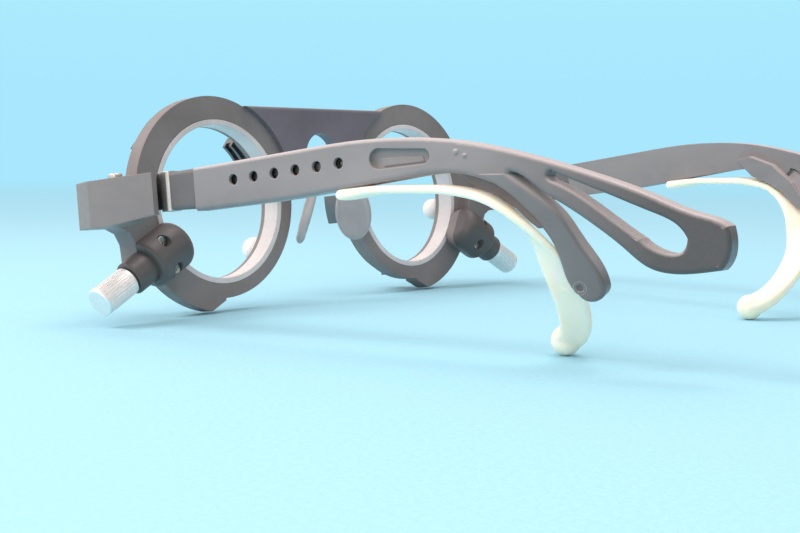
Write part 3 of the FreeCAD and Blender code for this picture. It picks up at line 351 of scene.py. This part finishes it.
def ear_hook(side_name, side):
    """Silicone strap under the temple that ends in a ball, with an eye on the prong's pin."""
    line = spline([on_temple(*row[:3]) for row in STRAP], STRAP_STEPS)
    shape = spline([Vector(row[3:]) for row in STRAP], STRAP_STEPS)
    bm = bmesh.new()
    rings = []
    for i, (centre, (twist, width, thick)) in enumerate(zip(line, shape)):
        tangent = (line[min(i + 1, len(line) - 1)] - line[max(i - 1, 0)]).normalized()
        turn = math.radians(twist)
        across = OUT * math.cos(turn) + ALONG * math.sin(turn)
        across = (across - tangent * across.dot(tangent)).normalized()
        end = min(1.0, 0.55 + 0.45 * i / 3)
        rings.append(flat_oval(centre, across, tangent.cross(across), width * end, thick * end))
    tube(bm, rings)
    ball = Matrix.Translation(line[-1])
    bmesh.ops.create_icosphere(bm, subdivisions=4, radius=BALL_R, matrix=ball)
    eye = on_prong(*HOOK_PIN, -PRONG_T - EYE_GAP)
    near = min(line, key=lambda p: (p - eye).length)
    arm = (near - eye).normalized()
    reach, across = (near - eye).length, arm.cross(PRONG_OUT).normalized()
    tube(bm, [flat_oval(eye + arm * reach * t, across, PRONG_OUT, ARM_W[0] + (ARM_W[1] - ARM_W[0]) * t,
                        ARM_T[0] + (ARM_T[1] - ARM_T[0]) * t) for t in (0, 0.25, 0.5, 0.75, 1)])
    turn = PRONG_OUT.to_track_quat("Z", "Y").to_matrix().to_4x4()
    bmesh.ops.create_cone(bm, cap_ends=True, segments=32, radius1=EYE_R, radius2=EYE_R, depth=EYE_T,
                          matrix=Matrix.Translation(eye) @ turn)
    for v in bm.verts:
        v.co = place(v.co, side)
    hook = new_piece(f"silicone_hook_{side_name}", bm, finishes["soft_silicone"])
    skin = hook.modifiers.new("skin", "REMESH")
    skin.mode, skin.voxel_size = "VOXEL", HOOK_VOXEL * MM
    even = hook.modifiers.new("even", "SMOOTH")
    even.factor, even.iterations = 0.5, 7
    apply_modifiers(hook)
    return hook


for side_name, side in SIDES:
    hook = ear_hook(side_name, side)
    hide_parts(f"ear_hook_{side_name}")
    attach(hook, f"temple_{side_name}")


PAD_CENTRE = (8.1, 2.6, -3.6)
PAD_W, PAD_T, PAD_H = 9.0, 2.8, 15.5
PAD_STUD = (-1.5, 6.0)    # along the pad's width and length
PAD_POWER = 2.6           # outline between an ellipse (2) and a rectangle
LIP_AT, LIP_W, LIP_RISE = 0.84, 0.07, 0.16    # moulded lip, as shares of the half width and thickness


def nose_pad(side_name, side):
    """Soft pad with crowned faces and a thin moulded lip, on a stud that enters the bridge."""
    length = Vector((-0.26, 0.22, 0.94)).normalized()
    normal = Vector((-0.75, 0.66, 0))
    normal = (normal - length * normal.dot(length)).normalized()
    width = normal.cross(length)
    bm = bmesh.new()
    bmesh.ops.create_uvsphere(bm, u_segments=64, v_segments=40, radius=1)
    for v in bm.verts:
        x, y, z = v.co
        r = max(1e-6, (abs(x) ** PAD_POWER + abs(z) ** PAD_POWER) ** (1 / PAD_POWER))
        lip = LIP_RISE * math.exp(-((r - LIP_AT) / LIP_W) ** 2)
        crown = math.copysign(abs(y) ** 0.5, y) * (0.86 + lip)
        v.co = (width * x * (1 + 0.10 * (1 - z)) * PAD_W / 2.2 + length * z * PAD_H / 2
                + normal * crown * PAD_T / 2)
    stud = Matrix.Translation(width * PAD_STUD[0] + length * PAD_STUD[1] - normal * (PAD_T / 2 + 0.6))
    turn = normal.to_track_quat("Z", "Y").to_matrix().to_4x4()
    bmesh.ops.create_cone(bm, cap_ends=True, segments=24, radius1=0.85, radius2=0.95, depth=2.0,
                          matrix=stud @ turn)
    for v in bm.verts:
        v.co = place(Vector(PAD_CENTRE) + v.co, side)
    pad = new_piece(f"silicone_pad_{side_name}", bm, finishes["clear_silicone"])
    skin = pad.modifiers.new("skin", "REMESH")
    skin.mode, skin.voxel_size = "VOXEL", PAD_VOXEL * MM
    even = pad.modifiers.new("even", "SMOOTH")
    even.factor, even.iterations = 0.5, 4
    apply_modifiers(pad)
    return pad


for side_name, side in SIDES:
    pad = nose_pad(side_name, side)
    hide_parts(f"nose_pad_{side_name}")
    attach(pad, "front")


# ---- floor, light and camera -------------------------------------------------------------------
HORIZON, SKY = (0.392, 0.80, 0.99), (0.465, 0.885, 1.0)
PAPER = ((0.335, 0.63, 0.76), (0.355, 0.66, 0.79))
FLOOR_R, FADE_FROM, FADE_TO = 3.0, 0.35, 1.6      # metres from the middle of the floor
WALL_LOW, WALL_SIDE, WALL_TOP = (0.86, 0.86, 0.88), (1.02, 0.95, 0.93), (1.15, 1.05, 1.02)
BRIGHT_SIDE = Vector((0.45, -0.62, 0.64)).normalized()
WALL_LEVELS = (0.10, 1.36)    # away from the bright side and towards it


def studio_floor():
    """Large pale disc that fades into the backdrop colour towards its rim."""
    f = Finish("pale_paper", Roughness=0.9, Specular_IOR_Level=0.1)
    fibres = f.noise(900, 3, 0.6)
    f.set(Base_Color=f.mix(f.span(fibres, 0.3, 0.7), *PAPER))
    f.bump(fibres, 0.0001)
    glow = f.add("ShaderNodeEmission", {"Color": (*HORIZON, 1), "Strength": 1.0}).outputs[0]
    reach = f.add("ShaderNodeVectorMath", {0: f.coords}, operation="LENGTH").outputs["Value"]
    fade = f.span(reach, FADE_FROM, FADE_TO)
    blend = f.add("ShaderNodeMixShader", {0: fade, 1: f.shader.outputs[0], 2: glow}).outputs[0]
    output = next(n for n in f.tree.nodes if n.type == "OUTPUT_MATERIAL")
    f.tree.links.new(blend, output.inputs["Surface"])
    bm = bmesh.new()
    bmesh.ops.create_circle(bm, cap_ends=True, segments=96, radius=FLOOR_R)
    floor = new_piece("studio_floor", bm, f.material)


def backdrop():
    """Pale blue paper behind the object, and the neutral light of a studio with one bright side."""
    world = bpy.data.worlds.new("studio")
    world.use_nodes = True
    tree = world.node_tree

    def add(kind, **settings):
        node = tree.nodes.new(kind)
        for name, value in settings.items():
            setattr(node, name, value)
        return node

    direction = add("ShaderNodeTexCoord").outputs["Generated"]
    height = add("ShaderNodeSeparateXYZ")
    tree.links.new(direction, height.inputs[0])

    def ramp(*stops):
        """Colours by the height of a direction."""
        node = add("ShaderNodeValToRGB")
        tree.links.new(height.outputs["Z"], node.inputs["Fac"])
        elements = node.color_ramp.elements
        elements.remove(elements[1])
        elements[0].position, elements[0].color = stops[0][0], (*stops[0][1], 1)
        for position, colour in stops[1:]:
            elements.new(position).color = (*colour, 1)
        return node.outputs["Color"]

    paper = ramp((0.05, HORIZON), (0.25, SKY))
    walls = ramp((0.0, WALL_LOW), (0.25, WALL_SIDE), (0.8, WALL_TOP))

    # the walls, brighter towards the bright side
    toward = add("ShaderNodeVectorMath", operation="DOT_PRODUCT")
    toward.inputs[1].default_value = BRIGHT_SIDE
    tree.links.new(direction, toward.inputs[0])
    level = add("ShaderNodeMapRange")
    level.inputs["From Min"].default_value = -1
    level.inputs["To Min"].default_value, level.inputs["To Max"].default_value = WALL_LEVELS
    tree.links.new(toward.outputs["Value"], level.inputs["Value"])
    shaded = add("ShaderNodeVectorMath", operation="SCALE")
    tree.links.new(walls, shaded.inputs[0])
    tree.links.new(level.outputs["Result"], shaded.inputs["Scale"])

    # the paper is what is seen, directly or through something clear; the walls light the object
    path = add("ShaderNodeLightPath")
    through = add("ShaderNodeMath", operation="MAXIMUM")
    tree.links.new(path.outputs["Is Camera Ray"], through.inputs[0])
    tree.links.new(path.outputs["Is Transmission Ray"], through.inputs[1])
    seen = add("ShaderNodeMix", data_type="RGBA")
    tree.links.new(through.outputs[0], seen.inputs[0])
    tree.links.new(shaded.outputs["Vector"], seen.inputs[6])
    tree.links.new(paper, seen.inputs[7])
    tree.links.new(seen.outputs[2], tree.nodes["Background"].inputs["Color"])
    bpy.context.scene.world = world


def softbox(name, spot, target, size, power, colour):
    """Rectangular light at a spot that faces a target, in metres and watts."""
    light = bpy.data.lights.new(name, "AREA")
    light.shape, light.size, light.size_y = "RECTANGLE", *size
    light.energy, light.color = power, colour
    obj = bpy.data.objects.new(name, light)
    obj.location = spot
    obj.rotation_euler = (Vector(target) - Vector(spot)).to_track_quat("-Z", "Y").to_euler()
    bpy.context.scene.collection.objects.link(obj)


studio_floor()
backdrop()
softbox("key_light", (0.40, -0.26, 0.46), (0.0, -0.02, 0.02), (0.20, 0.20), 1.55, (1.0, 0.93, 0.90))
softbox("top_light", (-0.08, 0.06, 0.80), (0.0, 0.0, 0.0), (0.30, 0.30), 1.15, (1.0, 0.95, 0.94))
softbox("hook_light", (0.50, 0.22, 0.24), (0.0, 0.04, 0.03), (0.16, 0.16), 0.50, (1.0, 0.76, 0.62))
softbox("edge_light", (-0.35, 0.65, 0.45), (0.0, 0.0, 0.02), (0.10, 0.30), 0.35, (1.0, 0.93, 0.90))

# the photograph's view: from behind the left temple, a little above the floor
EYE = ORIGIN + Vector((0.23705, 0.23434, 0.01097))
LOOK = Vector((-0.74826, -0.65809, -0.08388))
HEAD = Vector((-0.06115, -0.05748, 0.99647))
lens = bpy.data.cameras.new("camera")
lens.lens, lens.sensor_width, lens.sensor_fit = 60.14, 36.0, "HORIZONTAL"
lens.clip_start = 0.01
camera = bpy.data.objects.new("camera", lens)
right = LOOK.cross(HEAD).normalized()
upward = right.cross(LOOK).normalized()
turned = Matrix((right, upward, -LOOK.normalized())).transposed()
camera.matrix_world = Matrix.Translation(EYE) @ turned.to_4x4()
bpy.context.scene.collection.objects.link(camera)
bpy.context.scene.camera = camera
bpy.context.scene.view_settings.view_transform = "Standard"
